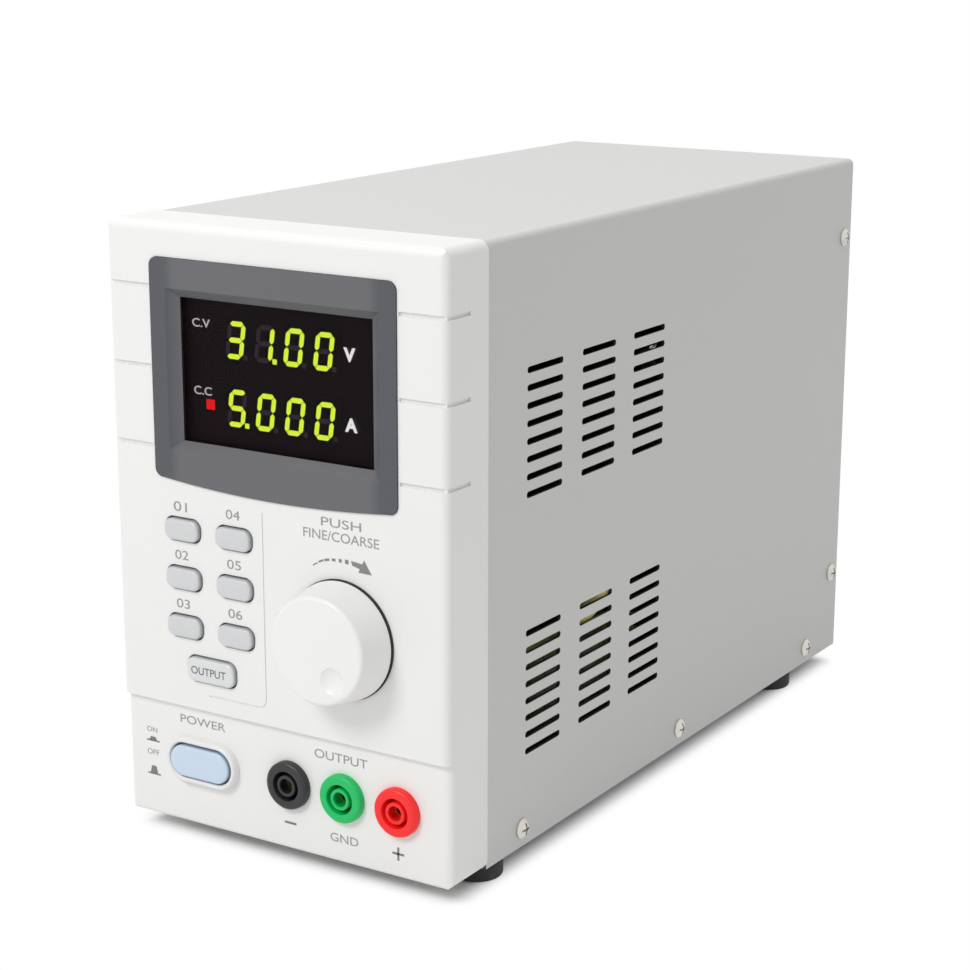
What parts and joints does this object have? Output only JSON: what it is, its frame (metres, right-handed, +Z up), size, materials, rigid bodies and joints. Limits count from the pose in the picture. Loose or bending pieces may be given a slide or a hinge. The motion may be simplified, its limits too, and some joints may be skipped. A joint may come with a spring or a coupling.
{
  "type": "laboratory power supply",
  "caption": "Upright bench power supply: light plastic front with digital display, keys, knob and safety sockets on a slotted sheet-steel case with rear fan and mains inlet.",
  "frame": {"origin": "middle of the bounding box, on the plane under the feet", "axes": "+Z up, -Y out of the front, +X to the right seen from the front"},
  "size_m": [0.1128, 0.264, 0.176],
  "materials": {
    "white_plastic": "fine texture",
    "surround_plastic": "satin",
    "window_plastic": "clear, tinted",
    "cover_paint": "fine texture",
    "zinc_sheet": "plain",
    "rubber_feet": "matt",
    "nickel_screws": "plated",
    "key_plastic": "satin",
    "button_plastic": "satin",
    "dark_plastic": "satin",
    "segment_light": "lit",
    "lamp_light": "lit",
    "socket_black": "satin",
    "socket_green": "satin",
    "socket_red": "satin",
    "contact_brass": "plated",
    "plated_steel": "plain",
    "blade_metal": "nickel plated",
    "board_laminate": "solder mask",
    "heat_sink_metal": "plain",
    "wound_core": "yellow tape",
    "pad_rubber": "matt",
    "capacitor_sleeve": "printed sleeve",
    "fuse_glass": "clear",
    "slider_red": "satin",
    "ribbon_vinyl": "satin",
    "brown_insulation": "satin",
    "red_insulation": "satin"
  },
  "bodies": {
    "case": {"front_bezel": "white_plastic", "display_surround": "surround_plastic", "display_window": "window_plastic", "front_plate": "zinc_sheet", "top_cover": "cover_paint", "base_chassis": "zinc_sheet", "rear_panel": "cover_paint", "foot_front_left": "rubber_feet", "foot_front_right": "rubber_feet", "foot_rear_left": "rubber_feet", "foot_rear_right": "rubber_feet", "chassis_screws": "nickel_screws", "bezel_screws": "nickel_screws", "cover_screws": "nickel_screws", "rear_screws": "nickel_screws", "key_switches": "dark_plastic", "power_collar": "white_plastic", "power_switch": "dark_plastic", "encoder_body": "plated_steel", "encoder_nut": "plated_steel", "control_board": "board_laminate", "display_modules": "dark_plastic", "lit_segments": "segment_light", "status_lamps": "lamp_light", "socket_negative": "socket_black", "socket_ground": "socket_green", "socket_positive": "socket_red", "socket_contacts": "contact_brass", "socket_nuts": "plated_steel", "inlet_body": "dark_plastic", "inlet_pins": "blade_metal", "selector_body": "dark_plastic", "fan_frame": "dark_plastic", "fan_guard": "plated_steel", "transformer": "wound_core", "transformer_pads": "pad_rubber", "transformer_bolt": "plated_steel", "main_board": "board_laminate", "board_standoffs": "contact_brass", "heat_sink": "heat_sink_metal", "power_semiconductors": "dark_plastic", "filter_capacitors": "capacitor_sleeve", "ribbon_cable": "ribbon_vinyl", "mains_wires": "brown_insulation", "output_wires": "red_insulation"},
    "knob_carriage": {"encoder_plunger": "dark_plastic"},
    "knob": {"encoder_shaft": "heat_sink_metal", "control_knob": "white_plastic"},
    "mains_button": {"power_button": "button_plastic"},
    "fan_wheel": {"fan_rotor": "dark_plastic"},
    "voltage_slider": {"selector_slider": "slider_red"},
    "drawer": {"fuse_drawer": "dark_plastic", "fuse": "fuse_glass"},
    "key_left_top_body": {"key_left_top": "key_plastic"},
    "key_left_middle_body": {"key_left_middle": "key_plastic"},
    "key_left_bottom_body": {"key_left_bottom": "key_plastic"},
    "key_right_top_body": {"key_right_top": "key_plastic"},
    "key_right_middle_body": {"key_right_middle": "key_plastic"},
    "key_right_bottom_body": {"key_right_bottom": "key_plastic"},
    "output_key_body": {"output_key": "key_plastic"}
  },
  "joints": [
    {"name": "knob_push", "type": "slide", "parent": "case", "child": "knob_carriage", "axis": [0, 1, 0], "range_m": [0, 0.0005], "stiffness_N_per_m": 3000, "springref_m": -0.0005},
    {"name": "knob_turn", "type": "hinge", "parent": "knob_carriage", "child": "knob", "pos_m": [0.0216, -0.11865, 0.0702], "axis": [0, 1, 0], "continuous": true},
    {"name": "key_left_top_press", "type": "slide", "parent": "case", "child": "key_left_top_body", "axis": [0, 1, 0], "range_m": [0, 0.0005], "stiffness_N_per_m": 2500, "springref_m": -0.0004},
    {"name": "key_left_middle_press", "type": "slide", "parent": "case", "child": "key_left_middle_body", "axis": [0, 1, 0], "range_m": [0, 0.0005], "stiffness_N_per_m": 2500, "springref_m": -0.0004},
    {"name": "key_left_bottom_press", "type": "slide", "parent": "case", "child": "key_left_bottom_body", "axis": [0, 1, 0], "range_m": [0, 0.0005], "stiffness_N_per_m": 2500, "springref_m": -0.0004},
    {"name": "key_right_top_press", "type": "slide", "parent": "case", "child": "key_right_top_body", "axis": [0, 1, 0], "range_m": [0, 0.0005], "stiffness_N_per_m": 2500, "springref_m": -0.0004},
    {"name": "key_right_middle_press", "type": "slide", "parent": "case", "child": "key_right_middle_body", "axis": [0, 1, 0], "range_m": [0, 0.0005], "stiffness_N_per_m": 2500, "springref_m": -0.0004},
    {"name": "key_right_bottom_press", "type": "slide", "parent": "case", "child": "key_right_bottom_body", "axis": [0, 1, 0], "range_m": [0, 0.0005], "stiffness_N_per_m": 2500, "springref_m": -0.0004},
    {"name": "output_key_press", "type": "slide", "parent": "case", "child": "output_key_body", "axis": [0, 1, 0], "range_m": [0, 0.0005], "stiffness_N_per_m": 2500, "springref_m": -0.0004},
    {"name": "power_latch", "type": "slide", "parent": "case", "child": "mains_button", "axis": [0, -1, 0], "range_m": [0, 0.0035]},
    {"name": "fan_spin", "type": "hinge", "parent": "case", "child": "fan_wheel", "pos_m": [0, 0.11835, 0.124], "axis": [0, 1, 0], "continuous": true},
    {"name": "voltage_select", "type": "slide", "parent": "case", "child": "voltage_slider", "axis": [1, 0, 0], "range_m": [0, 0.0058]},
    {"name": "fuse_drawer_slide", "type": "slide", "parent": "case", "child": "drawer", "axis": [0, 1, 0], "range_m": [0, 0.012]}
  ]
}
